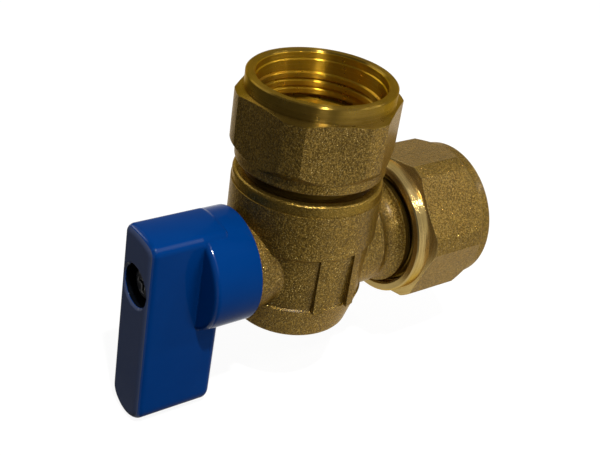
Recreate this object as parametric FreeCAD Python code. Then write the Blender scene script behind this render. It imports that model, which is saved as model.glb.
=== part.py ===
import FreeCAD, Part
import math
import os

# Angle-pattern ball isolating valve with a union nut on top, a compression nut at the side
# and a quarter-turn handle opposite the outlet. All sizes in mm.
# The sizes count from the point where the inlet axis (Z) crosses the outlet and stem axis (X).
# The finished pieces are moved so that the centre of the union's sealing face is the origin.

Vector = FreeCAD.Vector

# Waterway and ball
port_r = 7.5            # full bore of the waterway
outlet_drop = 29.4      # union sealing face down to the outlet axis
ball_r = 12.0
ball_gap = 0.6          # ball to chamber wall
slot_w = 5.0            # stem tongue across its flats
slot_depth = 3.0
slot_gap = 0.1          # slot over tongue, all together

# Ball seats
seat_lip = 3.5          # radial width of a seat ring
seat_h = 3.4
seat_drop = 0.6         # top of the seat below the top of the ball
seat_gap = 0.05         # seat to ball, and seat to its pocket
seat_proud = 0.3        # seat standing out of its pocket

# Threads, drawn as plain cylinders at their full diameter
union_thread_r = 13.22  # G 3/4
tail_ledge = 1.4        # tail thread over the ball chamber
thread_gap = 0.1

# Forged body
barrel_wall = 2.1       # outside the tail thread
barrel_top = 18.6
land_cut = 0.15         # turned land below the forged skin
land_h = 2.5
land_round = 0.8
waist_top = 6.0
waist_low = 7.4
waist_depth = 0.7
cap_inset = 1.1         # lower cap's top edge inside the barrel
cap_taper = 2.2         # lower cap's radius lost towards the bottom
cap_ledge = 0.35        # waist's lower end inside the cap
floor_t = 3.9           # metal under the lower seat
floor_round = 0.9

# Framed panel on the front of the waist
rib_pitch = 8.3
rib_w = 2.2
rib_sink = 0.25         # rib's face inside the barrel

# Side neck for the compression joint
neck_root_r = 11.7
neck_r = 10.7
neck_len = 5.1          # barrel to the end of the flange
flange_r = 12.55
flange_w = 1.2
relief_r = 11.9
relief_w = 1.6
pipe_r = 11.0           # 22 mm copper pipe
pipe_gap = 0.15
pipe_stop = 2.8         # from the flange to the pipe's stop
mouth_flare = 1.2       # cone for the olive

# Stem and its boss
stem_r = 4.5
stem_gap = 0.05
stem_collar_r = 6.6
stem_collar_t = 1.5
collar_gap = 0.3        # collar to its recess, and tongue to the slot's floor
washer_t = 0.8
washer_gap = 0.05
collar_to_ball = 0.65
ring_section = 0.66     # section radius of the stem's two sealing rings
ring_gap = 0.015
groove_w = 1.7
groove_land = 0.5       # thrust face to the first groove, and groove to groove
drive_w = 6.2           # square drive across its flats
drive_gap = 0.1
drive_len = 9.7
screw_r = 2.0
tap_depth = 9.0

# Stops between boss and handle
boss_step = 0.7         # forged boss beyond the barrel
spigot_r = 9.0
spigot_len = 3.6
lug_h = 1.1
boss_edge = 0.5         # forged boss outside the stop lug
lug_angle = 40.0
turn_angle = 90.0
stop_play = 1.0         # degrees left at each end of the turn
stop_gap = 0.4

# Handle
hub_gap = 0.4           # hub's back face to the forged boss
hub_wall = 1.3
hub_len = 10.7
hub_round = 1.2
fin_front = 39.55
fin_depth = 17.85
fin_t = 11.6
fin_reach = 33.6
crown_rise = 0.2        # fin's crown above the hub
crown_r = 20.0          # bow across the fin's crown
crown_corner = 2.0
tip_flat = 1.3          # radius of the fin's end beyond half its thickness
tip_corner = 4.0
fin_round = 1.6
rest_turn = 2.5         # degrees from fully open, as the handle stands
screw_web = 4.0
screw_clear = 0.2
head_r = 3.4
head_h = 2.6
head_round = 0.7
head_gap = 1.1
recess_w = 0.9
recess_len = 4.2
recess_depth = 1.5
screw_len = 12.0

# Union tail and its nut
neck_wall = 4.2         # tail wall above the body
tail_sink = 0.5         # tail's shoulder below the body's top
key_flat = 16.4         # hexagon for the fitting key
key_depth = 4.6
wire_r = 0.75
wire_split = 20.0       # degrees left open in the retaining wire
wire_gap = 0.1
wire_up = 2.2           # wire above the nut's base
nut_float = 2.35        # nut above the body
swivel_gap = 0.1
base_bore_len = 5.0
union_relief = 0.5
relief_over = 0.5       # union thread's start above the sealing face
nut_h = 18.7
nut_flats = 31.9
nut_corners = 34.5      # across the small flats that cut the corners
collar_cut = 0.45       # collar inside the flats
collar_h = 3.3
crown_slope = 0.28      # turned chamfer, drop for each mm outwards
base_cut = 0.05
base_h = 2.4
base_slope = 1.33
base_round = 0.6
entry_len = 2.0
entry_r = 0.25
rim_chamfer = 0.4
rim_edge = 0.3          # chamfer outside the collar
union_nut_turn = 7.9    # degrees

# Compression nut and olive
side_nut_h = 21.6
side_nut_start = 0.25   # nut's collar beyond the flange
side_nut_turn = 8.0     # degrees
side_nut_corners = 35.0
end_wall = 3.0
cone_start = 1.35
olive_gap = 0.05
olive_t = 1.2
olive_len = 7.0
olive_end = 0.55
olive_seat = 0.5        # olive inside the neck's mouth
olive_play = 0.1        # olive's outer end to the nut's cone

# Worked out from the sizes above
chamber_r = ball_r + ball_gap
seat_r = port_r + seat_lip
seat_top = ball_r - seat_drop
seat_pocket = seat_top - seat_h + seat_proud
tail_thread_r = chamber_r + tail_ledge
barrel_r = tail_thread_r + barrel_wall
land_r = barrel_r - land_cut
cap_r = barrel_r - cap_inset
body_depth = seat_top + floor_t
lug_r = spigot_r + lug_h
boss_r = lug_r + boss_edge
boss_face = barrel_r + boss_step
spigot_end = boss_face + spigot_len
collar_face = ball_r + collar_to_ball
thrust_face = collar_face + stem_collar_t + washer_gap + washer_t
ring_r = stem_r + stem_gap - ring_gap - ring_section
groove_floor = ring_r - ring_section - ring_gap
drive_end = spigot_end + stop_gap + drive_len
hub_r = boss_r + stop_gap + hub_wall
hub_back = boss_face + hub_gap
hub_front = hub_back + hub_len
crown_top = hub_r + crown_rise
tip_r = fin_t / 2 + tip_flat
web_floor = drive_end + stop_gap
screw_seat = web_floor + screw_web
flange_x = barrel_r + neck_len
socket_r = pipe_r + pipe_gap
side_nut_x = flange_x + side_nut_start
olive_r = pipe_r + olive_gap
olive_far = side_nut_x + side_nut_h - end_wall - (olive_r + olive_end + olive_play - socket_r)
olive_near = olive_far - olive_len
neck_end = olive_near + olive_seat
tail_neck_r = port_r + neck_wall
nut_base = barrel_top + nut_float
nut_rim = nut_base + nut_h
nut_flat_r = nut_flats / 2
collar_r = nut_flat_r - collar_cut
base_r = nut_flat_r - base_cut
wire_z = nut_base + wire_up


def post(radius, low, high):
    """Cylinder on the inlet axis."""
    return Part.makeCylinder(radius, high - low, Vector(0, 0, low), Vector(0, 0, 1))


def rod(radius, start, end):
    """Cylinder on the outlet and stem axis."""
    low = min(start, end)
    return Part.makeCylinder(radius, abs(end - start), Vector(low, 0, 0), Vector(1, 0, 0))


def block(x, y, z):
    """Box between three pairs of limits."""
    corner = Vector(x[0], y[0], z[0])
    return Part.makeBox(x[1] - x[0], y[1] - y[0], z[1] - z[0], corner)


def turn_z(outline):
    """Solid turned about the inlet axis from (radius, height) corners."""
    corners = [Vector(r, 0, z) for r, z in outline]
    face = Part.Face(Part.makePolygon(corners + corners[:1]))
    return face.revolve(Vector(0, 0, 0), Vector(0, 0, 1), 360)


def turn_x(outline):
    """Solid turned about the outlet axis from (place, radius) corners."""
    corners = [Vector(x, 0, r) for x, r in outline]
    face = Part.Face(Part.makePolygon(corners + corners[:1]))
    return face.revolve(Vector(0, 0, 0), Vector(1, 0, 0), 360)


def sector(radius, start, end, first, last):
    """Slice of a cylinder on the stem axis, angles from +Y towards +Z."""
    corners = [Vector(start, 0, 0), Vector(end, 0, 0), Vector(end, radius, 0), Vector(start, radius, 0)]
    face = Part.Face(Part.makePolygon(corners + corners[:1]))
    face.rotate(Vector(0, 0, 0), Vector(1, 0, 0), first)
    return face.revolve(Vector(0, 0, 0), Vector(1, 0, 0), last - first)


def hexagon(flat_r, low, high, turn):
    """Hexagonal prism on Z with a flat at the given angle."""
    corner_r = flat_r / math.cos(math.pi / 6)
    angles = [math.radians(turn + 30 + 60 * i) for i in range(7)]
    wire = Part.makePolygon([Vector(corner_r * math.cos(a), corner_r * math.sin(a), low) for a in angles])
    return Part.Face(wire).extrude(Vector(0, 0, high - low))


def rounded(shape, radius, chosen):
    """Shape with the chosen edges rounded."""
    return shape.makeFillet(radius, [e for e in shape.Edges if chosen(e)])


def circle_at(edge, radius, z):
    """True for a circle on Z of this radius and height."""
    if not isinstance(edge.Curve, Part.Circle):
        return False
    return abs(edge.Curve.Radius - radius) < 1e-4 and abs(edge.Curve.Center.z - z) < 1e-4


def valve_body():
    """Forged and turned body: barrel, side neck and stem boss round the ball chamber."""
    waist_r = barrel_r - waist_depth
    land_low = barrel_top - land_h
    barrel = turn_z([
        (0, -body_depth), (cap_r - cap_taper, -body_depth), (cap_r, -waist_low),
        (cap_r - cap_ledge, -waist_low + cap_ledge), (waist_r, waist_top - waist_depth),
        (barrel_r, waist_top), (barrel_r, land_low), (land_r, land_low), (land_r, barrel_top),
        (0, barrel_top)])
    barrel = rounded(barrel, land_round, lambda e: circle_at(e, land_r, barrel_top))
    barrel = rounded(barrel, floor_round, lambda e: circle_at(e, cap_r - cap_taper, -body_depth))
    body = barrel.fuse([side_neck(), rod(boss_r, 0, -boss_face), rod(spigot_r, 0, -spigot_end)])
    lug_mid = 90
    body = body.fuse(sector(lug_r, -boss_face, -spigot_end, lug_mid - lug_angle / 2, lug_mid + lug_angle / 2))
    body = body.fuse(panel_ribs())
    body = body.cut(body_hollow())
    return body.removeSplitter()


def side_neck():
    """Hollowed neck, flange and plain-drawn thread towards the outlet."""
    thread_start = flange_x + relief_w
    mouth_r = union_thread_r - thread_gap
    flange_back = flange_x - flange_w
    thread = turn_x([
        (flange_back, 0), (flange_back, flange_r), (flange_x, flange_r), (flange_x, relief_r),
        (thread_start, relief_r), (thread_start + mouth_r - relief_r, mouth_r),
        (neck_end, mouth_r), (neck_end, 0)])
    root_end = barrel_r - cap_inset
    corners = [Vector(root_end, 0, neck_root_r), Vector(0, 0, neck_root_r), Vector(0, 0, 0),
               Vector(flange_back, 0, 0), Vector(flange_back, 0, flange_r)]
    deepest = Vector((root_end + flange_back) / 2, 0, neck_r)
    hollow = Part.Arc(corners[-1], deepest, corners[0]).toShape()
    face = Part.Face(Part.Wire(Part.makePolygon(corners).Edges + [hollow]))
    return face.revolve(Vector(0, 0, 0), Vector(1, 0, 0), 360).fuse(thread)


def panel_ribs():
    """Two upright ribs that frame the bare panel on the waist's front."""
    outer = post(barrel_r - rib_sink, -waist_low, waist_top)
    ring = outer.cut(post(chamber_r + ball_gap, -waist_low, waist_top))
    ribs = []
    for side in (-1, 1):
        middle = side * rib_pitch / 2
        ribs.append(ring.common(block((middle - rib_w / 2, middle + rib_w / 2),
                                      (-barrel_r, -port_r), (-waist_low, waist_top))))
    return ribs


def body_hollow():
    """Ball chamber, tail thread, seat pocket, waterway, pipe socket and stem bore."""
    pocket_r = seat_r + seat_gap
    pocket_top = seat_h - seat_top
    chamber = turn_z([
        (0, -chamber_r), (port_r, -chamber_r), (port_r, -seat_top), (pocket_r, -seat_top),
        (pocket_r, pocket_top), (chamber_r, pocket_top + chamber_r - pocket_r), (chamber_r, seat_pocket),
        (tail_thread_r, seat_pocket), (tail_thread_r, barrel_top), (0, barrel_top)])
    mouth = turn_x([
        (neck_end - mouth_flare, 0), (neck_end - mouth_flare, socket_r),
        (neck_end, socket_r + mouth_flare), (neck_end, 0)])
    return chamber.fuse([
        rod(port_r, 0, flange_x + pipe_stop), rod(socket_r, flange_x + pipe_stop, neck_end), mouth,
        rod(stem_collar_r + collar_gap, 0, -thrust_face), rod(stem_r + stem_gap, 0, -spigot_end)])


def ball():
    """Ball with an angled waterway and a slot for the stem's tongue."""
    solid = Part.makeSphere(ball_r)
    way = Part.makeSphere(port_r).fuse([rod(port_r, 0, ball_r), post(port_r, 0, ball_r)])
    half = (slot_w + slot_gap) / 2
    slot = block((-ball_r, slot_depth - ball_r), (-half, half), (-ball_r, ball_r))
    return solid.cut([way, slot])


def ball_seat(side):
    """Seat ring above (1) or below (-1) the ball."""
    ring = post(seat_r, seat_top - seat_h, seat_top)
    ring = ring.cut([post(port_r, 0, seat_top), Part.makeSphere(ball_r + seat_gap)])
    if side < 0:
        ring.rotate(Vector(0, 0, 0), Vector(1, 0, 0), 180)
    return ring


def union_tail():
    """Tail screwed into the body: it holds the upper seat and carries the swivel nut."""
    thread_end = barrel_top - tail_sink
    groove = wire_r + wire_gap / 2
    tail = turn_z([
        (port_r, seat_top), (seat_r + seat_gap, seat_top), (seat_r + seat_gap, seat_pocket),
        (tail_thread_r - thread_gap, seat_pocket), (tail_thread_r - thread_gap, thread_end),
        (tail_neck_r, thread_end), (tail_neck_r, wire_z - groove), (tail_neck_r - groove, wire_z - groove),
        (tail_neck_r - groove, wire_z + groove), (tail_neck_r, wire_z + groove),
        (tail_neck_r, outlet_drop), (port_r, outlet_drop)])
    return tail.cut(hexagon(key_flat / 2, outlet_drop - key_depth, outlet_drop, 0))


def nut_retaining_ring():
    """Split wire ring, half in the tail's groove and half in the nut's."""
    middle = Vector(tail_neck_r, 0, wire_z)
    section = Part.Face(Part.Wire(Part.makeCircle(wire_r, middle, Vector(0, 1, 0))))
    return section.revolve(Vector(0, 0, 0), Vector(0, 0, 1), 360 - wire_split)


def nut_blank(height, across, turn):
    """Outside of a nut standing on its forged base, with its turned collar on top."""
    reach = across / 2
    crown = height - collar_h
    blank = turn_z([
        (0, 0), (base_r, 0), (base_r, base_h), (reach, base_h + (reach - base_r) * base_slope),
        (reach, crown - (reach - collar_r) * crown_slope), (collar_r, crown),
        (collar_r, height - rim_edge), (collar_r - rim_edge, height), (0, height)])
    blank = rounded(blank, base_round, lambda e: circle_at(e, base_r, 0))
    flats = hexagon(nut_flat_r, 0, height, turn)
    corners = hexagon(reach, 0, height, turn + 30)
    return blank.common(flats.common(corners))


def thread_mouth(height):
    """Plain entry and chamfer in a nut's collar."""
    entry = union_thread_r + entry_r
    return turn_z([
        (0, height - entry_len), (union_thread_r, height - entry_len), (entry, height - entry_len + entry_r),
        (entry, height - rim_chamfer), (entry + rim_chamfer, height), (0, height)])


def union_nut():
    """Swivel nut on the tail, open upwards."""
    thread_low = outlet_drop + relief_over - nut_base
    base_bore = tail_neck_r + swivel_gap
    slot = wire_r + wire_gap
    nut = nut_blank(nut_h, nut_corners, union_nut_turn)
    nut = nut.cut([
        post(base_bore, 0, base_bore_len), post(base_bore + slot, wire_up - slot, wire_up + slot),
        post(union_thread_r + union_relief, base_bore_len, thread_low),
        post(union_thread_r, thread_low, nut_h), thread_mouth(nut_h)])
    nut.translate(Vector(0, 0, nut_base))
    return nut


def compression_nut():
    """Nut on the side neck: its collar faces the body and the pipe leaves through its base."""
    cone_low = end_wall
    cone_high = end_wall + cone_start
    nut = nut_blank(side_nut_h, side_nut_corners, side_nut_turn)
    cone = turn_z([
        (0, cone_low), (socket_r, cone_low), (socket_r + cone_start, cone_high), (0, cone_high)])
    nut = nut.cut([
        post(socket_r, 0, end_wall), cone, post(union_thread_r, cone_high, side_nut_h),
        thread_mouth(side_nut_h)])
    nut.rotate(Vector(0, 0, 0), Vector(0, 1, 0), -90)
    nut.translate(Vector(side_nut_x + side_nut_h, 0, 0))
    return nut


def compression_olive():
    """Soft ring between the neck's mouth and the compression nut's cone."""
    third = olive_len / 3
    return turn_x([
        (olive_near, olive_r), (olive_near, olive_r + olive_end), (olive_near + third, olive_r + olive_t),
        (olive_far - third, olive_r + olive_t), (olive_far, olive_r + olive_end), (olive_far, olive_r)])


def stem():
    """Stem put in from the chamber: tongue, collar, two grooves, square drive and tapped end."""
    tongue_half = slot_w / 2
    tongue_tip = ball_r - slot_depth + collar_gap
    tongue = rod(stem_collar_r, -tongue_tip, -collar_face)
    tongue = tongue.common(block((-collar_face, -tongue_tip), (-tongue_half, tongue_half),
                                 (-stem_collar_r, stem_collar_r)))
    collar = rod(stem_collar_r, -collar_face, -collar_face - stem_collar_t)
    journal_end = spigot_end + stop_gap
    journal = rod(stem_r, -collar_face - stem_collar_t, -journal_end)
    half = drive_w / 2
    drive = block((-drive_end, -journal_end), (-half, half), (-half, half))
    solid = tongue.fuse([collar, journal, drive]).removeSplitter()
    for place in groove_places():
        groove = rod(stem_r, -place + groove_w / 2, -place - groove_w / 2)
        solid = solid.cut(groove.cut(rod(groove_floor, -place + groove_w / 2, -place - groove_w / 2)))
    return solid.cut(rod(screw_r, -drive_end, tap_depth - drive_end))


def groove_places():
    """Middles of the stem's two grooves, measured from the inlet axis."""
    first = thrust_face + groove_land + groove_w / 2
    return [first, first + groove_w + groove_land]


def stem_thrust_washer():
    """Plain washer between the stem's collar and the body."""
    inner = stem_r + stem_gap
    start = -thrust_face
    return rod(stem_collar_r, start, start + washer_t).cut(rod(inner, start, start + washer_t))


def stem_o_ring(index):
    """Sealing ring in one of the stem's grooves."""
    place = groove_places()[index]
    return Part.makeTorus(ring_r, ring_section, Vector(-place, 0, 0), Vector(1, 0, 0))


def handle_fin():
    """Upright grip with a flat-bowed crown over the hub and a bowed end."""
    half = fin_t / 2
    shoulder = crown_top - crown_r + math.sqrt(crown_r ** 2 - half ** 2)
    tip_edge = fin_reach - tip_r + math.sqrt(tip_r ** 2 - half ** 2)
    start = -fin_front

    def corner(y, z):
        return Vector(start, y, z)

    outline = Part.Wire([
        Part.Arc(corner(-half, shoulder), corner(0, crown_top), corner(half, shoulder)).toShape(),
        Part.makeLine(corner(half, shoulder), corner(half, -tip_edge)),
        Part.Arc(corner(half, -tip_edge), corner(0, -fin_reach), corner(-half, -tip_edge)).toShape(),
        Part.makeLine(corner(-half, -tip_edge), corner(-half, shoulder))])
    fin = Part.Face(outline).extrude(Vector(fin_depth, 0, 0))

    def tip_edges(edge):
        box = edge.BoundBox
        return box.XLength > fin_depth / 2 and box.ZMax < 0

    def crown_edges(edge):
        box = edge.BoundBox
        return box.XLength > fin_depth / 2 and abs(box.ZMax - shoulder) < 1e-4

    def end_edges(edge):
        return edge.BoundBox.XLength < 1e-6

    fin = rounded(rounded(fin, tip_corner, tip_edges), crown_corner, crown_edges)
    return rounded(fin, fin_round, end_edges)


def handle():
    """One-piece handle: cupped hub, grip fin, square socket and a deep screw hole."""
    hub = rod(hub_r, -hub_back, -hub_front)

    def front_edge(edge):
        return edge.BoundBox.XMax < -hub_front + 1e-4

    hub = rounded(hub, hub_round, front_edge)
    solid = hub.fuse(handle_fin()).removeSplitter()
    cup_floor = spigot_end + stop_gap
    lug_end = 90 + lug_angle / 2 + stop_play
    lug_start = 90 - lug_angle / 2 - turn_angle - stop_play
    half = (drive_w + drive_gap) / 2
    counterbore_r = head_r + head_gap
    rim = turn_x([
        (-fin_front, 0), (-fin_front, counterbore_r + recess_w / 2),
        (-fin_front + recess_w / 2, counterbore_r), (-fin_front + recess_w / 2, 0)])
    return solid.cut([
        rod(spigot_r + stop_gap, -hub_back, -cup_floor),
        sector(lug_r + stop_gap, -hub_back, -cup_floor, lug_start, lug_end),
        block((-web_floor, -cup_floor), (-half, half), (-half, half)),
        rod(screw_r + screw_clear, -web_floor, -screw_seat),
        rod(counterbore_r, -screw_seat, -fin_front), rim])


def handle_screw():
    """Pan-head screw with a cross recess that clamps the handle to the stem."""
    head_top = screw_seat + head_h
    head = rod(head_r, -screw_seat, -head_top)

    def top_edge(edge):
        return edge.BoundBox.XMax < -head_top + 1e-4

    head = rounded(head, head_round, top_edge)
    shank = rod(screw_r - stem_gap, -screw_seat, screw_len - screw_seat)
    floor = recess_depth - head_top
    half_w = recess_w / 2
    half_len = recess_len / 2
    slots = [
        block((-head_top, floor), (-half_w, half_w), (-half_len, half_len)),
        block((-head_top, floor), (-half_len, half_len), (-half_w, half_w))]
    return head.fuse(shank).removeSplitter().cut(slots)


def stood(shape):
    """Moving piece turned from fully open to where the handle stands."""
    shape.rotate(Vector(0, 0, 0), Vector(1, 0, 0), rest_turn)
    return shape


PIECES = {
    "valve_body": valve_body(),
    "union_tail": union_tail(),
    "union_nut": union_nut(),
    "nut_retaining_ring": nut_retaining_ring(),
    "ball": stood(ball()),
    "upper_ball_seat": ball_seat(1),
    "lower_ball_seat": ball_seat(-1),
    "stem": stood(stem()),
    "stem_thrust_washer": stem_thrust_washer(),
    "stem_o_ring_inner": stem_o_ring(0),
    "stem_o_ring_outer": stem_o_ring(1),
    "handle": stood(handle()),
    "handle_screw": stood(handle_screw()),
    "compression_nut": compression_nut(),
    "compression_olive": compression_olive(),
}

os.makedirs("parts", exist_ok=True)
for name, shape in PIECES.items():
    shape.translate(Vector(0, 0, -outlet_drop))
    if not shape.isValid() or len(shape.Solids) != 1:
        raise RuntimeError(name + " is not one valid solid")
    shape.exportStep("parts/" + name + ".step")
    print(name, round(shape.Volume, 1), [round(v, 2) for v in (
        shape.BoundBox.XMin, shape.BoundBox.YMin, shape.BoundBox.ZMin,
        shape.BoundBox.XMax, shape.BoundBox.YMax, shape.BoundBox.ZMax)])
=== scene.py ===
"""Looks of an angle isolating valve: forged and turned brass, a blue handle and a cut union thread."""

import math

import bpy
from bpy.props import FloatProperty, FloatVectorProperty, IntProperty, PointerProperty
from mathutils import Matrix, Vector


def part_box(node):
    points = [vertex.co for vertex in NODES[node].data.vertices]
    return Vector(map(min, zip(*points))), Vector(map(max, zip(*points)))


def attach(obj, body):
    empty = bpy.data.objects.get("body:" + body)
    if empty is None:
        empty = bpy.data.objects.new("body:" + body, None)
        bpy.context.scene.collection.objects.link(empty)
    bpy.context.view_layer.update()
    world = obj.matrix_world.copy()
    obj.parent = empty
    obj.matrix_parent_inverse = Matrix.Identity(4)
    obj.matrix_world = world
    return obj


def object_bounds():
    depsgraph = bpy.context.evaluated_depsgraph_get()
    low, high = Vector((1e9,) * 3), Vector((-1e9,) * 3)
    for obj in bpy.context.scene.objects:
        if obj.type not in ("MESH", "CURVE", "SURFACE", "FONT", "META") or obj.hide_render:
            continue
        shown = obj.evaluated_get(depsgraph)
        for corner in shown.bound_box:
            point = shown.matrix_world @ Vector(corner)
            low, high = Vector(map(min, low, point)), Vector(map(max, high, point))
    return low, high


bl_info = {
    "name": "Angle Isolating Valve",
    "version": (1, 0, 0),
    "blender": (4, 5, 0),
    "location": "View3D > Sidebar > Valve",
    "description": "Finishes the solids of an angle isolating valve and sets them on a pale stage",
    "category": "Object",
}

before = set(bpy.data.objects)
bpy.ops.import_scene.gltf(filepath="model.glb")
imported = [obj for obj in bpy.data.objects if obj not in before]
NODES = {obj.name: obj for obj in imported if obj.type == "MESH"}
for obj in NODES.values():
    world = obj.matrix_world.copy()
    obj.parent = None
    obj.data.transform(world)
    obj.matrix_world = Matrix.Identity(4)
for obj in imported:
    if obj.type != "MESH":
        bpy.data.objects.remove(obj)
CAD_BOX = [list(corner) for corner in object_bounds()]
MM = 0.001

BODY_LOW, BODY_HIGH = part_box("valve_body")
UNION_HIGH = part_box("union_nut")[1]
SIDE_LOW, SIDE_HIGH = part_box("compression_nut")
HANDLE_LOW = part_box("handle")[0]
OUTLET_Z = (SIDE_LOW.z + SIDE_HIGH.z) / 2

# Where one finish ends and the next begins on the body: land and cap on the inlet axis, flange on the outlet.
LAND_H, LAND_R = 2.5 * MM, 16.3 * MM
LAND_SHARE = 0.6
TAIL_BORE_R, TAIL_BORE_H = 14.1 * MM, 13.0 * MM
CHAMBER_R, CAP_H = 12.7 * MM, 2.5 * MM
FLANGE_X, WATERWAY_R = 20.4 * MM, 8.0 * MM
NECK_THREAD_X, NECK_THREAD_R = 22.9 * MM, 12.6 * MM

# The same on the nuts, the union tail and the handle.
NUT_COLLAR_R, NUT_COLLAR_H = 15.5 * MM, 3.3 * MM
CROWN_SLOPE, CROWN_MARGIN = 0.28, 0.06 * MM
NUT_BORE_R, NUT_RIM = 13.9 * MM, 0.3 * MM
NUT_THREAD_R, NUT_THREAD_LOW, NUT_THREAD_HIGH = 13.3 * MM, 23.6 * MM, 38.6 * MM
SEAL_FACE = -0.5 * MM
HOLE_R, HOLE_RIM, HOLE_END_X = 4.6 * MM, 0.5 * MM, -25.0 * MM
FRONT_SKIN, FIN_LENGTH = 0.4 * MM, 11.5 * MM

# Waves to the metre of what marks each finish.
CLOUD_WAVES, STAIN_WAVES = 160.0, 230.0
LINE_WAVES, BAND_WAVES, GROOVE_WAVES = 9000.0, 1300.0, 11000.0
SMEAR_WAVES, PEEL_WAVES, DUST_WAVES = 90.0, 700.0, 2400.0
PATCH_WAVES = 1500.0

BRASS_EDGE = (0.85, 0.62, 0.25, 1.0)
FORGED_COAT = {"Coat Weight": 0.22, "Coat Roughness": 0.3}
TURNED_METAL = 0.9
SPUN = {"Anisotropic": 1.0, "Anisotropic Rotation": 0.25}
SPUN_ROUGH = 0.08
# Share of the compression nut's lighter brass: part clean metal, part painted highlight.
SIDE_CLEAN_AND_LIT = 0.7
HIDDEN_CLEAN, HIDDEN_METAL, HIDDEN_ROUGH = 0.5, 0.6, 0.1
THREAD_RELIEF = 2.0
COAT_TINT = (0.6, 0.78, 1.0, 1.0)
COAT_EDGE, SCREW_EDGE = 0.5 * MM, 0.3 * MM
SCREW_BLACK, SCREW_BARE = (0.07, 0.07, 0.075, 1.0), (0.62, 0.61, 0.6, 1.0)

# Of each inner finish: its noise (scale, detail, roughness), dark and light colour, metal, roughness
# (least, rise), relief in mm, and the nodes that wear it.
INNER_FINISHES = {
    "plated_ball": (
        (350.0, 4.0, 0.6), (0.62, 0.62, 0.63), (0.74, 0.74, 0.75), 1.0, (0.06, 0.1), 0.0, ("ball",)),
    "seat_plastic": (
        (600.0, 3.0, 0.5), (0.70, 0.69, 0.66), (0.84, 0.83, 0.80), 0.0, (0.4, 0.15), 0.0,
        ("upper_ball_seat", "lower_ball_seat", "stem_thrust_washer")),
    "seal_rubber": (
        (900.0, 3.0, 0.5), (0.012, 0.012, 0.012), (0.03, 0.03, 0.03), 0.0, (0.5, 0.2), 0.02,
        ("stem_o_ring_inner", "stem_o_ring_outer")),
    "spring_wire": (
        (1200.0, 3.0, 0.5), (0.28, 0.27, 0.26), (0.46, 0.45, 0.44), 1.0, (0.25, 0.15), 0.0,
        ("nut_retaining_ring",)),
}

# The modelled thread: half its angle, the bevel and the fade of its ridge, and what is shaded smooth.
FLANK_ANGLE = math.radians(27.5)
CREST_BEVEL, FADE_DEPTH = 0.08, 0.95
SMOOTH_ANGLE = math.radians(20)

# Of each lamp: place, width, the setting that holds its power, and whether the metal mirrors it.
LAMPS = {
    "key_lamp": ((-0.127, -0.272, 0.49), 0.03, "key_power", True),
    "side_lamp": ((0.624, -0.326, 0.45), 0.06, "side_power", True),
    "edge_lamp": ((0.462, -0.431, 0.54), 0.05, "edge_power", True),
    "soft_lamp": ((0.25, -0.73, 0.19), 0.3, "soft_power", False),
    "back_lamp": ((-0.21, 0.576, 0.485), 0.5, "back_power", True),
}
FLOOR_SIZE, FLOOR_GAP = 4.0, 0.2 * MM
FLOOR_GLOW, UNLIT, WHITE = (0.92, 0.92, 0.92, 1.0), (0.0, 0.0, 0.0, 1.0), (1.0, 1.0, 1.0, 1.0)
# Fade and depth of the painted dark reflection to the left, and the dimming of what is mirrored overhead.
DARK_REFLECTION_FADE = 0.05
DARK_REFLECTION_DIM, OVERHEAD_DIM = 0.9, 0.45
ROOM_LOW, ROOM_RISE = 0.03, 0.3
CAMERA_PLACE = (-0.12364, -0.15027, 0.08887)
CAMERA_RIGHT, CAMERA_UP = (0.8118, -0.5691, 0.1310), (0.2005, 0.4823, 0.8528)
SENSOR_WIDTH, NEAREST = 36.0, 0.01


class Wire:
    """An output socket that takes part in expressions; each operator adds one Math node."""

    def __init__(self, socket):
        self.socket = socket
        self.tree = socket.id_data

    def node(self, kind, settings=None, inputs=None, output=0):
        """Add a node to this tree, its settings first, and give back the named output."""
        made = self.tree.nodes.new("ShaderNode" + kind)
        for name, value in (settings or {}).items():
            setattr(made, name, value)
        for key, value in (inputs or {}).items():
            if isinstance(value, Wire):
                self.tree.links.new(value.socket, made.inputs[key])
            else:
                made.inputs[key].default_value = value
        return Wire(made.outputs[output]) if made.outputs else None

    def math(self, operation, *values):
        return self.node("Math", {"operation": operation}, dict(enumerate(values)))

    def __add__(self, other):
        return self.math("ADD", self, other)

    def __sub__(self, other):
        return self.math("SUBTRACT", self, other)

    def __rsub__(self, other):
        return self.math("SUBTRACT", other, self)

    def __mul__(self, other):
        return self.math("MULTIPLY", self, other)

    def __truediv__(self, other):
        return self.math("DIVIDE", self, other)

    def __pow__(self, other):
        return self.math("POWER", self, other)

    def __gt__(self, other):
        return self.math("GREATER_THAN", self, other)

    def __lt__(self, other):
        return self.math("LESS_THAN", self, other)

    __radd__ = __add__
    __rmul__ = __mul__

    def either(self, other):
        return self.math("MAXIMUM", self, other)

    def both(self, other):
        return self.math("MINIMUM", self, other)

    def rise(self, low, high):
        """0 below low, 1 above high and an even slope between."""
        return self.node("MapRange", {"clamp": True}, {"Value": self, "From Min": low, "From Max": high})

    def axes(self):
        """The three parts of a vector."""
        split = self.node("SeparateXYZ", {}, {"Vector": self}).socket.node
        return [Wire(socket) for socket in split.outputs]

    def vector(self, x, y, z):
        return self.node("CombineXYZ", {}, {"X": x, "Y": y, "Z": z})

    def blend(self, first, second):
        """Colour that goes from first to second as this value goes from 0 to 1."""
        return self.node("Mix", {"data_type": "RGBA"}, {0: self, 6: first, 7: second}, 2)

    def noise(self, scale, detail=2.0, roughness=0.5):
        """Soft random value at this many waves to the metre, read at this place."""
        settings = {"noise_dimensions": "3D"}
        return self.node("TexNoise", settings, {
            "Vector": self, "Scale": scale, "Detail": detail, "Roughness": roughness})


def new_material(name):
    """An empty material, and the Object coordinates of the piece that wears it."""
    material = bpy.data.materials.new(name)
    material.use_nodes = True
    material.node_tree.nodes.clear()
    place = Wire(material.node_tree.nodes.new("ShaderNodeTexCoord").outputs["Object"])
    return material, place


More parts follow.
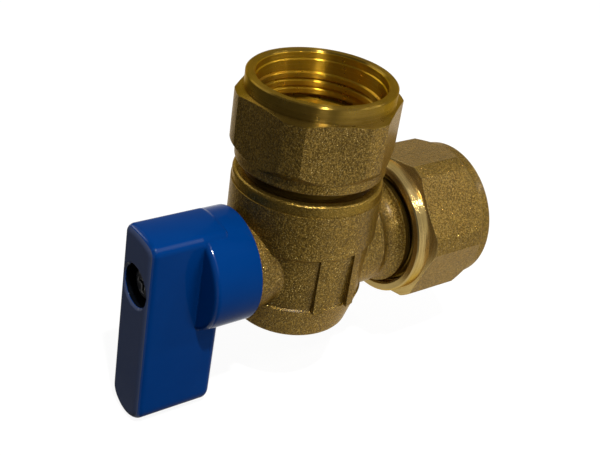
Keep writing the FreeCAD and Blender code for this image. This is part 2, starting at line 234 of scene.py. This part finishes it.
def surface(place, inputs):
    """Close a material with one principled surface."""
    shader = place.node("BsdfPrincipled", {}, inputs)
    place.node("OutputMaterial", {}, {"Surface": shader})


def wear(material, *names):
    """Give this material to CAD nodes."""
    for name in names:
        mesh = NODES[name].data
        mesh.materials.clear()
        mesh.materials.append(material)


def opaque(colour):
    return (*colour, 1.0)


def radius_from(first, second):
    """Distance from an axis, from the two coordinates across it."""
    return (first * first + second * second) ** 0.5


def rounding(place, radius, samples):
    """Normal that rounds the edges of a piece over this radius."""
    return place.node("Bevel", {"samples": samples}, {"Radius": radius})


def relief(place, height, edge=None):
    """Normal of a surface with this height, in mm, over that of its rounded edges."""
    over = {} if edge is None else {"Normal": edge}
    return place.node("Bump", {}, {"Strength": 1.0, "Distance": MM, "Height": height, **over})


def edge_mask(place, edge):
    """1 where the rounded normal leaves the face, so along the edges."""
    face = place.node("NewGeometry", output="Normal")
    along = place.node("VectorMath", {"operation": "DOT_PRODUCT"}, {0: face, 1: edge}, "Value")
    return (1 - along).rise(0.01, 0.08)


def thread_ridge(place, first, second, along, pitch):
    """Height (mm) of a thread that runs along an axis, from the two coordinates across it."""
    turn = place.math("ARCTAN2", second, first) / math.tau
    return place.math("PINGPONG", along / pitch - turn, 0.5) * THREAD_RELIEF


def forged_skin(place, brass):
    """Colour, metal, roughness and height (mm) of a shot-blasted forging, with painted glints on its highest
    grains.
    """
    grain = place.noise(brass.grain_count, 3.0, 0.65)
    pits = place.noise(brass.grain_count * 0.45, 2.0)
    cloud = place.noise(CLOUD_WAVES, 3.0)
    tone = grain.rise(0.44, 0.74) + (pits - 0.5) * 0.3 + (cloud - 0.5) * 0.25
    colour = tone.rise(0.0, 1.0).blend(opaque(brass.forged_dark), opaque(brass.forged_light))
    # Bright specks on the highest grains: a painted glint in the colour, on bare metal that is also made
    # smoother there.
    tips = place.noise(brass.grain_count * 1.7, 1.0).rise(0.64, 0.78)
    colour = tips.blend(colour, opaque(brass.painted_glint))
    metal = 0.8 + tips * 0.2
    roughness = 0.34 - tips * 0.12
    height = grain * brass.grain_depth + pits * (brass.grain_depth * 1.2)
    return colour, metal, roughness, height


def turned_skin(place, around, along, brass, clean=0.0, fresh_and_lit=None):
    """Colour, roughness and height (mm) of lathe-cut brass, in a lighter clean colour that is partly painted
    light, where clean is 1.
    """
    lines = place.vector(around * LINE_WAVES, along * LINE_WAVES, 0.0).noise(1.0, 2.0)
    bands = place.vector(around * BAND_WAVES, along * BAND_WAVES, 0.0).noise(1.0, 1.0)
    stain = place.noise(STAIN_WAVES, 4.0, 0.6)
    tone = (bands - 0.5) * 0.5 + (stain - 0.5) * 0.9 + 0.45
    dulled = tone.rise(0.0, 1.0)
    colour = dulled.blend(opaque(brass.turned_light), opaque(brass.turned_dark))
    # Where clean is 1 the brass takes a lighter colour: clean brass, also painted lighter to stand in for
    # light.
    fresh_and_lit = (dulled * 0.5).blend(opaque(fresh_and_lit or brass.painted_lit_gold), opaque(brass.turned_light))
    colour = place.node("Mix", {"data_type": "RGBA"}, {0: clean, 6: colour, 7: fresh_and_lit}, 2)
    roughness = 0.14 + stain * 0.14
    grooves = place.vector(around * GROOVE_WAVES, along * GROOVE_WAVES, 3.0).noise(1.0, 1.0).rise(0.62, 0.70)
    height = (lines + bands - grooves * 1.2) * brass.line_depth
    return colour, roughness, height


def brass_surface(place, brass, turned, around, along, ridge=0.0, clean=0.0, fresh_and_lit=None, spun=False):
    """Close a material: forged brass, and lathe-cut where turned is 1, which spreads the light if spun."""
    forged_colour, forged_metal, forged_rough, forged_height = forged_skin(place, brass)
    bright_colour, bright_rough, bright_height = turned_skin(place, around, along, brass, clean, fresh_and_lit)
    soft = rounding(place, brass.forged_edge, 6)
    crisp = rounding(place, brass.turned_edge, 4)
    edge = place.node("Mix", {"data_type": "VECTOR"}, {0: turned, 4: soft, 5: crisp}, 1)
    height = forged_height * (1 - turned) + bright_height * turned + ridge
    sheen = {"Specular IOR Level": 0.08, "Specular Tint": BRASS_EDGE, "Normal": relief(place, height, edge)}
    forged = place.node("BsdfPrincipled", {}, {
        "Base Color": forged_colour, "Metallic": forged_metal, "Roughness": forged_rough,
        **FORGED_COAT, **sheen})
    spread = {}
    if spun:
        bright_rough = bright_rough + SPUN_ROUGH
        spread = SPUN
    bright = place.node("BsdfPrincipled", {}, {
        "Base Color": bright_colour, "Metallic": TURNED_METAL, "Roughness": bright_rough,
        **sheen, **spread})
    both = place.node("MixShader", {}, {0: turned, 1: forged, 2: bright})
    place.node("OutputMaterial", {}, {"Surface": both})


class BrassFinish(bpy.types.PropertyGroup):
    """Colours and grain of the brass pieces."""

    forged_dark: FloatVectorProperty(
        name="Forged dark", description="Forged brass in the pits of its grain",
        default=(0.10, 0.058, 0.008), subtype="COLOR", min=0.0, max=1.0)
    forged_light: FloatVectorProperty(
        name="Forged light", description="Forged brass on the tips of its grain",
        default=(0.40, 0.245, 0.047), subtype="COLOR", min=0.0, max=1.0)
    # Bright speck colour on the highest grains of the forging: a painted glint on bare metal.
    painted_glint: FloatVectorProperty(
        name="Glint", description="Bare metal on the highest grains of the forging",
        default=(0.95, 0.72, 0.27), subtype="COLOR", min=0.0, max=1.0)
    turned_dark: FloatVectorProperty(
        name="Turned dark", description="Lathe-cut brass where it has dulled",
        default=(0.085, 0.050, 0.005), subtype="COLOR", min=0.0, max=1.0)
    turned_light: FloatVectorProperty(
        name="Turned light", description="Lathe-cut brass where it is clean",
        default=(0.28, 0.174, 0.031), subtype="COLOR", min=0.0, max=1.0)
    # Lighter lathe-cut brass on the compression nut's collar and bore: fresh-cut brass, also a painted
    # highlight on the collar.
    cut_and_lit: FloatVectorProperty(
        name="Fresh cut", description="Lathe-cut brass on the compression nut's collar",
        default=(0.62, 0.46, 0.19), subtype="COLOR", min=0.0, max=1.0)
    # Lighter brass in the union nut's bore, its thread and the tail's face: untarnished brass, also painted
    # lighter to stand in for the light that falls in the bore.
    painted_lit_gold: FloatVectorProperty(
        name="Bore gold", description="Untouched brass inside the union nut",
        default=(0.45, 0.25, 0.010), subtype="COLOR", min=0.0, max=1.0)
    grain_count: FloatProperty(
        name="Grain count", description="Waves of shot-blast grain to the metre", default=2700.0, min=1.0)
    grain_depth: FloatProperty(
        name="Grain depth", description="Depth of the shot-blast grain, in mm", default=0.2, min=0.0)
    line_depth: FloatProperty(
        name="Line depth", description="Depth of the lathe lines, in mm", default=0.018, min=0.0)
    forged_edge: FloatProperty(
        name="Forged edge", description="Rounding seen on forged edges", default=0.0002, unit="LENGTH")
    turned_edge: FloatProperty(
        name="Turned edge", description="Rounding seen on lathe-cut edges", default=0.00015, unit="LENGTH")


class ThreadSizes(bpy.types.PropertyGroup):
    """The parallel pipe thread cut in the union nut."""

    pitch: FloatProperty(name="Pitch", description="Rise in one turn", default=1.814 * MM, unit="LENGTH")
    wall_r: FloatProperty(
        name="Wall radius", description="Radius of the bore that the thread stands in", default=13.22 * MM,
        unit="LENGTH")
    crest_r: FloatProperty(
        name="Crest radius", description="Radius of the thread's crest", default=12.75 * MM, unit="LENGTH")
    crest_w: FloatProperty(
        name="Crest width", description="Flat on the crest", default=1.1 * MM, unit="LENGTH")
    root_sink: FloatProperty(
        name="Root sink", description="Depth of the thread's root in the wall", default=0.2 * MM,
        unit="LENGTH")
    start: FloatProperty(
        name="Start", description="Height of the first turn over the sealing face", default=0.1 * MM,
        unit="LENGTH")
    entry: FloatProperty(
        name="Entry", description="Plain band between the thread and the rim", default=3.2 * MM,
        unit="LENGTH")
    run_out: FloatProperty(
        name="Run-out", description="Part of a turn over which each end fades into the wall", default=0.2,
        min=0.01)
    steps: IntProperty(name="Steps", description="Faces round one turn", default=96, min=12)


class HandleFinish(bpy.types.PropertyGroup):
    """The moulded coat of the handle."""

    blue: FloatVectorProperty(
        name="Blue", description="Colour of the coat", default=(0.0, 0.030, 0.155), subtype="COLOR",
        min=0.0, max=1.0)
    # Near black inside the screw hole: painted shade.
    hole: FloatVectorProperty(
        name="Hole", description="Colour inside the screw hole", default=(0.003, 0.004, 0.006),
        subtype="COLOR", min=0.0, max=1.0)
    # Greyer blue on the handle's front: a painted reflection.
    painted_front_reflection: FloatVectorProperty(
        name="Dusty blue", description="Colour of the handle's scuffed front", default=(0.048, 0.064, 0.125),
        subtype="COLOR", min=0.0, max=1.0)
    rubbed: FloatVectorProperty(
        name="Rubbed blue", description="Colour where the coat is rubbed", default=(0.001, 0.037, 0.176),
        subtype="COLOR", min=0.0, max=1.0)


class StageSetup(bpy.types.PropertyGroup):
    """Floor, lamps and camera."""

    floor_colour: FloatVectorProperty(
        name="Floor", description="Colour of the floor", default=(0.13, 0.128, 0.125), subtype="COLOR",
        min=0.0, max=1.0)
    # How far left the floor stays lit in reflections; beyond it lies a painted dark reflection.
    screen: FloatProperty(
        name="Screen", description="How far to the left the brass still mirrors a lit floor", default=-0.005,
        unit="LENGTH")
    lens: FloatProperty(
        name="Lens", description="Focal length on a 36 mm sensor", default=62.67, unit="CAMERA")
    key_power: FloatProperty(
        name="Key lamp", description="Power of the lamp above the camera", default=3.0, unit="POWER")
    side_power: FloatProperty(
        name="Side lamp", description="Power of the small lamp to the right", default=0.8, unit="POWER")
    edge_power: FloatProperty(
        name="Edge lamp", description="Power of the small lamp that picks out the handle's edges",
        default=0.6, unit="POWER")
    soft_power: FloatProperty(
        name="Soft lamp", description="Power of the broad low lamp in front", default=2.2, unit="POWER")
    back_power: FloatProperty(
        name="Back lamp", description="Power of the broad lamp behind", default=1.3, unit="POWER")


class VALVE_OT_finish_body(bpy.types.Operator):
    """Finish the forged body with its turned land, flange and bores"""

    bl_idname = "valve.finish_body"
    bl_label = "Finish body"

    def execute(self, context):
        brass, thread = context.scene.valve_brass, context.scene.valve_thread
        material, place = new_material("body_brass")
        x, y, z = place.axes()
        height = z - OUTLET_Z
        from_inlet = radius_from(x, y)
        from_outlet = radius_from(y, height)
        above_cap = z > BODY_LOW.z + CAP_H
        land = (z > BODY_HIGH.z - LAND_H) * LAND_SHARE
        tail_bore = (from_inlet < TAIL_BORE_R).both(z > BODY_HIGH.z - TAIL_BORE_H)
        chamber = (from_inlet < CHAMBER_R).both(above_cap).either(tail_bore)
        outlet = (x > FLANGE_X).either(from_outlet < WATERWAY_R)
        turned = land.either(chamber).either(outlet)
        on_thread = (x > NECK_THREAD_X).both(from_outlet > NECK_THREAD_R)
        ridge = thread_ridge(place, y, height, x, thread.pitch) * on_thread
        on_inlet = (from_inlet < LAND_R).both(above_cap)
        around = from_inlet * on_inlet + from_outlet * (1 - on_inlet)
        along = z * on_inlet + x * (1 - on_inlet)
        brass_surface(place, brass, turned, around, along, ridge)
        wear(material, "valve_body")
        return {"FINISHED"}


class VALVE_OT_finish_nuts(bpy.types.Operator):
    """Finish the two forged nuts with their turned collars and bores"""

    bl_idname = "valve.finish_nuts"
    bl_label = "Finish nuts"

    def execute(self, context):
        brass, thread = context.scene.valve_brass, context.scene.valve_thread
        material, place = new_material("union_nut_brass")
        x, y, z = place.axes()
        around = radius_from(x, y)
        bore = around < NUT_BORE_R
        crown = UNION_HIGH.z - NUT_COLLAR_H - (around - NUT_COLLAR_R) * CROWN_SLOPE - CROWN_MARGIN
        turned = (z > crown).either(bore)
        inside = bore.both(z < UNION_HIGH.z - NUT_RIM)
        # The bore below the rim takes the lighter gold: painted light in the bore over clean brass.
        brass_surface(place, brass, turned, around, z, clean=inside, spun=True)
        wear(material, "union_nut")

        material, place = new_material("compression_nut_brass")
        x, y, z = place.axes()
        height = z - OUTLET_Z
        around = radius_from(y, height)
        crown = SIDE_LOW.x + NUT_COLLAR_H + (around - NUT_COLLAR_R) * CROWN_SLOPE + CROWN_MARGIN
        turned = (x < crown).either(around < NUT_BORE_R)
        on_thread = (around < NUT_THREAD_R).both(x > NUT_THREAD_LOW).both(x < NUT_THREAD_HIGH)
        ridge = thread_ridge(place, y, height, x, thread.pitch) * on_thread
        # The compression nut's turned brass takes the lighter colour: a painted highlight over fresh-cut
        # brass.
        brass_surface(place, brass, turned, around, x, ridge, SIDE_CLEAN_AND_LIT, brass.cut_and_lit)
        wear(material, "compression_nut")
        return {"FINISHED"}


class VALVE_OT_finish_turned_parts(bpy.types.Operator):
    """Finish the union tail, the stem and the olive in lathe-cut brass"""

    bl_idname = "valve.finish_turned_parts"
    bl_label = "Finish turned parts"

    def execute(self, context):
        brass = context.scene.valve_brass
        for name, upright in (("union_tail", True), ("stem", False), ("compression_olive", False)):
            material, place = new_material(name + "_brass")
            x, y, z = place.axes()
            if upright:
                around, along = radius_from(x, y), z
                # The tail's face and waterway take the lighter gold: painted light where the tail sits in the
                # nut's shade, over clean brass.
                clean = (z > SEAL_FACE).either(around < WATERWAY_R)
            else:
                around, along = radius_from(y, z - OUTLET_Z), x
                clean = HIDDEN_CLEAN
            colour, roughness, height = turned_skin(place, around, along, brass, clean)
            edge = rounding(place, brass.turned_edge, 4)
            surface(place, {
                "Base Color": colour, "Metallic": HIDDEN_METAL, "Roughness": roughness + HIDDEN_ROUGH,
                "Specular IOR Level": 0.1, "Normal": relief(place, height, edge)})
            wear(material, name)
        return {"FINISHED"}


class VALVE_OT_finish_handle(bpy.types.Operator):
    """Coat the handle in deep blue, with a painted reflection on its front, painted shade in its screw hole
    and polished edges
    """

    bl_idname = "valve.finish_handle"
    bl_label = "Finish handle"

    def execute(self, context):
        coat = context.scene.valve_handle
        material, place = new_material("blue_coat")
        smear = place.noise(SMEAR_WAVES, 4.0, 0.6)
        peel = place.noise(PEEL_WAVES, 2.0)
        dust = place.noise(DUST_WAVES, 2.0)
        specks = dust.rise(0.70, 0.78)
        rubbed = smear.rise(0.3, 0.8) * 0.5 + specks * 0.3
        colour = rubbed.blend(opaque(coat.blue), opaque(coat.rubbed))
        x, y, z = place.axes()
        # The front face takes a greyer blue: a painted reflection, varied at random.
        front = (x < HANDLE_LOW.x + FRONT_SKIN) * (0.75 + smear * 0.5)
        colour = front.rise(0.0, 1.0).blend(colour, opaque(coat.painted_front_reflection))
        # Inside the screw hole the coat is painted near black: painted shade in the hole.
        in_depth = (x < HOLE_END_X).both(x > HANDLE_LOW.x + HOLE_RIM)
        hole = (radius_from(y, z - OUTLET_Z) < HOLE_R).both(in_depth)
        colour = hole.blend(colour, opaque(coat.hole))
        to_object = {"vector_type": "NORMAL", "convert_from": "WORLD", "convert_to": "OBJECT"}
        facing = place.node("VectorTransform", to_object, {0: place.node("NewGeometry", output="Normal")})
        to_x, to_y, to_z = (axis.math("ABSOLUTE", axis) for axis in facing.axes())
        rounded = (1 - to_x.either(to_y).either(to_z)).rise(0.14, 0.22)
        polished = rounded.both((x < HANDLE_LOW.x + FIN_LENGTH).either(to_x > 0.2))
        edge = rounding(place, COAT_EDGE, 6)
        surface(place, {
            "Base Color": colour,
            "Roughness": 0.04 + smear * 0.08 + specks * 0.15,
            "Specular IOR Level": 0.03,
            "Specular Tint": COAT_TINT,
            "Coat Weight": polished,
            "Coat Roughness": 0.12,
            "Normal": relief(place, peel * 0.012 + dust * 0.002, edge),
        })
        wear(material, "handle")
        return {"FINISHED"}


class VALVE_OT_finish_screw(bpy.types.Operator):
    """Blacken the handle's screw, with bright metal where its edges are worn"""

    bl_idname = "valve.finish_screw"
    bl_label = "Finish screw"

    def execute(self, context):
        material, place = new_material("black_screw")
        patches = place.noise(PATCH_WAVES, 3.0, 0.6)
        edge = rounding(place, SCREW_EDGE, 8)
        worn = edge_mask(place, edge).both(patches.rise(0.40, 0.52)).either(patches.rise(0.62, 0.68))
        surface(place, {
            "Base Color": worn.blend(SCREW_BLACK, SCREW_BARE),
            "Metallic": 0.6,
            "Roughness": 0.42 - worn * 0.18,
            "Normal": relief(place, patches * 0.03, edge),
        })
        wear(material, "handle_screw")
        return {"FINISHED"}


class VALVE_OT_finish_inner_parts(bpy.types.Operator):
    """Finish the plated ball, its seats, the stem's washer and sealing rings and the nut's wire ring"""

    bl_idname = "valve.finish_inner_parts"
    bl_label = "Finish inner parts"

    def execute(self, context):
        for name, finish in INNER_FINISHES.items():
            noise, dark, light, metal, (least, rise), depth, wearers = finish
            material, place = new_material(name)
            mottle = place.noise(*noise)
            inputs = {
                "Base Color": mottle.blend(opaque(dark), opaque(light)), "Metallic": metal,
                "Roughness": least + mottle * rise}
            if depth:
                inputs["Normal"] = relief(place, mottle * depth)
            surface(place, inputs)
            wear(material, *wearers)
        return {"FINISHED"}


class VALVE_OT_cut_union_thread(bpy.types.Operator):
    """Model the pipe thread inside the union nut as one helical ridge"""

    bl_idname = "valve.cut_union_thread"
    bl_label = "Cut union thread"

    def execute(self, context):
        thread, brass = context.scene.valve_thread, context.scene.valve_brass
        flank = math.tan(FLANK_ANGLE)
        root_r = thread.wall_r + thread.root_sink
        depth = root_r - thread.crest_r
        root_w = thread.crest_w + 2 * depth * flank
        low = thread.start + root_w / 2
        turns = (UNION_HIGH.z - thread.entry - root_w / 2 - low) / thread.pitch

        # The ridge's section, wide at the root and narrow at the crest.
        bpy.ops.object.select_all(action="DESELECT")
        middle = (root_r - depth / 2, 0, low)
        bpy.ops.mesh.primitive_plane_add(size=1, location=middle, rotation=(math.pi / 2, 0, 0))
        ridge = context.object
        ridge.name = "union_nut_thread"
        ridge.scale = (depth, root_w, 1)
        bpy.ops.object.transform_apply(location=False, rotation=True, scale=True)
        bpy.ops.object.mode_set(mode="EDIT")
        bpy.ops.mesh.select_mode(type="VERT")
        bpy.ops.mesh.select_all(action="DESELECT")
        bpy.ops.object.mode_set(mode="OBJECT")
        for vertex in ridge.data.vertices:
            vertex.select = vertex.co.x < 0
        bpy.ops.object.mode_set(mode="EDIT")
        bpy.ops.transform.resize(value=(1, 1, thread.crest_w / root_w), center_override=middle)
        bpy.ops.mesh.bevel(offset=thread.crest_w * CREST_BEVEL, segments=1, affect="VERTICES")
        bpy.ops.mesh.select_all(action="SELECT")
        bpy.ops.mesh.delete(type="ONLY_FACE")
        bpy.ops.object.mode_set(mode="OBJECT")
        bpy.ops.object.transform_apply(location=True, rotation=True, scale=True)

        # The section wound up the bore.
        screw = ridge.modifiers.new("turns", "SCREW")
        screw.axis = "Z"
        screw.angle = math.tau * turns
        screw.screw_offset = thread.pitch * turns
        screw.steps = screw.render_steps = round(thread.steps * turns)
        bpy.ops.object.modifier_apply(modifier=screw.name)

        # Both ends fade into the wall and are closed.
        for vertex in ridge.data.vertices:
            x, y, z = vertex.co
            part = math.atan2(y, x) / math.tau
            turn = part + round((z - low) / thread.pitch - part)
            fade = max(0.0, 1.0 - min(turn, turns - turn) / thread.run_out)
            radius = math.hypot(x, y)
            grow = (radius + (root_r - radius) * fade * FADE_DEPTH) / radius
            vertex.co = (x * grow, y * grow, z)
        bpy.ops.object.mode_set(mode="EDIT")
        bpy.ops.mesh.select_all(action="DESELECT")
        bpy.ops.mesh.select_non_manifold(extend=False)
        bpy.ops.mesh.fill_holes(sides=0)
        bpy.ops.mesh.select_all(action="SELECT")
        bpy.ops.mesh.normals_make_consistent(inside=False)
        bpy.ops.object.mode_set(mode="OBJECT")
        bpy.ops.object.shade_smooth_by_angle(angle=SMOOTH_ANGLE)

        material, place = new_material("thread_brass")
        x, y, z = place.axes()
        # The thread takes the lighter gold throughout: painted light in the bore over clean brass.
        colour, roughness, height = turned_skin(place, radius_from(x, y), z, brass, 1.0)
        surface(place, {
            "Base Color": colour, "Metallic": TURNED_METAL, "Roughness": roughness + SPUN_ROUGH,
            "Specular IOR Level": 0.1, "Normal": relief(place, height), **SPUN})
        ridge.data.materials.append(material)
        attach(ridge, "union_nut")
        return {"FINISHED"}


class VALVE_OT_set_stage(bpy.types.Operator):
    """Lay the pale floor and set the lamps, the surroundings and the camera"""

    bl_idname = "valve.set_stage"
    bl_label = "Set stage"

    def execute(self, context):
        setup, scene = context.scene.valve_stage, context.scene
        scene.view_settings.view_transform = "Standard"
        self.lay_floor(context, setup)
        self.make_world(scene)
        for name, (place, width, power, mirrored) in LAMPS.items():
            self.hang_lamp(context, name, place, width, getattr(setup, power), mirrored)
        self.place_camera(context, setup)
        return {"FINISHED"}

    def seen(self, light_path):
        """1 for rays that show the background: straight, mirrored or through glass."""
        outputs = light_path.socket.node.outputs
        camera, glossy, through = (Wire(outputs[n]) for n in (
            "Is Camera Ray", "Is Glossy Ray", "Is Transmission Ray"))
        return camera.either(glossy).either(through)

    def lay_floor(self, context, setup):
        """A pale floor that shows white, keeps the shadow and is painted dark to the left in reflections
        only.
        """
        bpy.ops.object.select_all(action="DESELECT")
        bpy.ops.mesh.primitive_plane_add(size=FLOOR_SIZE, location=(0, 0, CAD_BOX[0][2] - FLOOR_GAP))
        floor = context.object
        floor.name = "floor"
        material, place = new_material("pale_floor")
        light_path = place.node("LightPath")
        matt = place.node("BsdfDiffuse", {}, {"Color": opaque(setup.floor_colour)})
        x, _, _ = place.axes()
        # Left of this edge the floor is painted dark in reflections only: a painted dark reflection.
        painted_dark_reflection = (0 - x).rise(setup.screen, setup.screen + DARK_REFLECTION_FADE)
        mirrored = Wire(light_path.socket.node.outputs["Is Glossy Ray"])
        light = (painted_dark_reflection * mirrored).blend(FLOOR_GLOW, UNLIT)
        glow = place.node("Emission", {}, {"Color": light, "Strength": 1.0})
        bright = place.node("AddShader", {}, {0: matt, 1: glow})
        mixed = place.node("MixShader", {}, {0: self.seen(light_path), 1: matt, 2: bright})
        place.node("OutputMaterial", {}, {"Surface": mixed})
        floor.data.materials.append(material)

    def make_world(self, scene):
        """White surroundings, mirrored dimmer overhead and painted dark to the left in reflections only, with
        a faint light from above.
        """
        world = bpy.data.worlds.new("studio")
        scene.world = world
        world.use_nodes = True
        world.node_tree.nodes.clear()
        direction = Wire(world.node_tree.nodes.new("ShaderNodeTexCoord").outputs["Generated"])
        light_path = direction.node("LightPath")
        across, _, height = direction.axes()
        mirrored = Wire(light_path.socket.node.outputs["Is Glossy Ray"])
        # To the left the surroundings are painted dark in reflections only.
        painted_dark_reflection = (0 - across).rise(0.05, 0.35) * mirrored
        shown = (1 - height.rise(0.04, 0.35) * mirrored * OVERHEAD_DIM) * (1 - painted_dark_reflection * DARK_REFLECTION_DIM)
        seen = self.seen(light_path)
        strength = shown * seen + (ROOM_LOW + height.rise(0.2, 0.95) * ROOM_RISE) * (1 - seen)
        light = direction.node("Background", {}, {"Color": WHITE, "Strength": strength})
        direction.node("OutputWorld", {}, {"Surface": light})

    def hang_lamp(self, context, name, place, width, power, mirrored):
        """A round lamp that is aimed at the ball and not seen by the camera."""
        bpy.ops.object.light_add(type="AREA", location=place)
        lamp = context.object
        lamp.name = name
        lamp.data.shape = "DISK"
        lamp.data.size = width
        lamp.data.energy = power
        aim = Vector((0, 0, OUTLET_Z)) - Vector(place)
        lamp.rotation_euler = aim.to_track_quat("-Z", "Y").to_euler()
        lamp.visible_camera = False
        lamp.visible_glossy = mirrored

    def place_camera(self, context, setup):
        """The camera where the photograph was taken from."""
        bpy.ops.object.camera_add()
        camera = context.object
        camera.name = "photo_camera"
        right = Vector(CAMERA_RIGHT)
        up = Vector(CAMERA_UP)
        back = right.cross(up).normalized()
        right = up.cross(back).normalized()
        up = back.cross(right)
        turn = Matrix((right, up, back)).transposed().to_4x4()
        camera.matrix_world = Matrix.Translation(CAMERA_PLACE) @ turn
        camera.data.sensor_width = SENSOR_WIDTH
        camera.data.lens = setup.lens
        camera.data.clip_start = NEAREST
        context.scene.camera = camera


SETTINGS = {
    "valve_brass": BrassFinish,
    "valve_thread": ThreadSizes,
    "valve_handle": HandleFinish,
    "valve_stage": StageSetup,
}
STEPS = (
    VALVE_OT_finish_body, VALVE_OT_finish_nuts, VALVE_OT_finish_turned_parts, VALVE_OT_finish_handle,
    VALVE_OT_finish_screw, VALVE_OT_finish_inner_parts, VALVE_OT_cut_union_thread, VALVE_OT_set_stage)


class VALVE_PT_sidebar(bpy.types.Panel):
    """Steps and settings of the valve"""

    bl_idname = "VALVE_PT_sidebar"
    bl_label = "Isolating valve"
    bl_space_type = "VIEW_3D"
    bl_region_type = "UI"
    bl_category = "Valve"

    def draw(self, context):
        for step in STEPS:
            self.layout.operator(step.bl_idname)
        for name in SETTINGS:
            settings = getattr(context.scene, name)
            box = self.layout.box()
            for key in settings.__annotations__:
                box.prop(settings, key)


CLASSES = (*SETTINGS.values(), *STEPS, VALVE_PT_sidebar)


def register():
    for cls in CLASSES:
        bpy.utils.register_class(cls)
    for name, cls in SETTINGS.items():
        setattr(bpy.types.Scene, name, PointerProperty(type=cls))


def unregister():
    for name in SETTINGS:
        delattr(bpy.types.Scene, name)
    for cls in reversed(CLASSES):
        bpy.utils.unregister_class(cls)


def main():
    register()
    bpy.ops.valve.finish_body()
    bpy.ops.valve.finish_nuts()
    bpy.ops.valve.finish_turned_parts()
    bpy.ops.valve.finish_handle()
    bpy.ops.valve.finish_screw()
    bpy.ops.valve.finish_inner_parts()
    bpy.ops.valve.cut_union_thread()
    bpy.ops.valve.set_stage()


if __name__ == "__main__":
    main()
